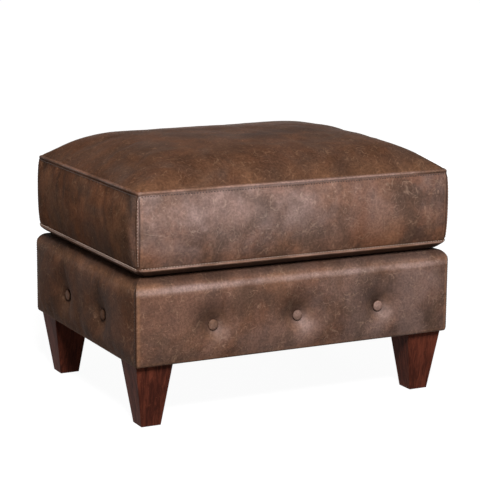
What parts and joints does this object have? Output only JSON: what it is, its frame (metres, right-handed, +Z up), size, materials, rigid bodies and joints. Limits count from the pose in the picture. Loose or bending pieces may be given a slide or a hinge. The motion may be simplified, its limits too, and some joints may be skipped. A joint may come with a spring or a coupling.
{
  "type": "leather ottoman",
  "caption": "Leather ottoman: a zipped, crowned box cushion tied down on a padded, buttoned base with four tapered wooden legs.",
  "frame": {"origin": "on the floor, under the middle of the ottoman", "axes": "+X to the right along the width, -Y to the front, +Z up"},
  "size_m": [0.7136, 0.54, 0.524],
  "materials": {
    "leather": "distressed pull-up brown leather, satin, with lighter rubbed edges",
    "button_leather": "the same leather stretched over a shell, a little smoother",
    "leg_wood": "dark cherry stain under satin lacquer",
    "frame_wood": "planed hardwood, bare",
    "foam": "cut upholstery foam",
    "fibre": "white polyester fibre",
    "spring_cover": "needled felt",
    "deck_cloth": "dark brown woven cloth",
    "dust_cover": "black spun-bonded cloth",
    "twine": "waxed twine and tape",
    "plastic": "moulded",
    "steel": "zinc plated",
    "zip_tape": "woven tape",
    "zip_chain": "moulded teeth",
    "zip_metal": "antique plated"
  },
  "bodies": {
    "root": {"base_front_foam": "foam", "base_front_leather": "leather", "base_left_foam": "foam", "base_left_leather": "leather", "base_rear_foam": "foam", "base_rear_leather": "leather", "base_right_foam": "foam", "base_right_leather": "leather", "block_screws": "steel", "centre_brace": "frame_wood", "corner_blocks": "frame_wood", "cushion_bottom_leather": "leather", "cushion_core": "foam", "cushion_front_boxing": "leather", "cushion_left_boxing": "leather", "cushion_rear_boxing_lower": "leather", "cushion_rear_boxing_upper": "leather", "cushion_right_boxing": "leather", "cushion_tie_tapes": "twine", "cushion_top_leather": "leather", "cushion_wrap": "fibre", "deck_cloth": "deck_cloth", "deck_foam": "foam", "dust_cover": "dust_cover", "dust_cover_staples": "steel", "front_buttons": "button_leather", "front_rail": "frame_wood", "left_buttons": "button_leather", "left_rail": "frame_wood", "leg_bolts": "steel", "leg_front_left": "leg_wood", "leg_front_right": "leg_wood", "leg_glides": "plastic", "leg_plates": "steel", "leg_rear_left": "leg_wood", "leg_rear_right": "leg_wood", "plate_screws": "steel", "rail_screws": "steel", "rear_buttons": "button_leather", "rear_rail": "frame_wood", "right_buttons": "button_leather", "right_rail": "frame_wood", "sinuous_springs": "steel", "spring_clips": "steel", "spring_cover": "spring_cover", "spring_tie_wires": "steel", "tufting_twines": "twine", "twine_toggles": "plastic", "zip_chain": "zip_chain", "zip_stops": "zip_metal", "zip_tapes": "zip_tape"},
    "zip_slider": {"zip_slider": "zip_metal"},
    "zip_pull": {"zip_pull": "zip_metal"}
  },
  "joints": [
    {"name": "zip_slide", "type": "slide", "parent": "root", "child": "zip_slider", "axis": [-1, 0, 0], "range_m": [0, 0.5884]},
    {"name": "zip_pull_swing", "type": "hinge", "parent": "zip_slider", "child": "zip_pull", "pos_m": [0.2942, 0.26726, 0.3905], "axis": [1, 0, 0], "range_deg": [0, 170]}
  ]
}
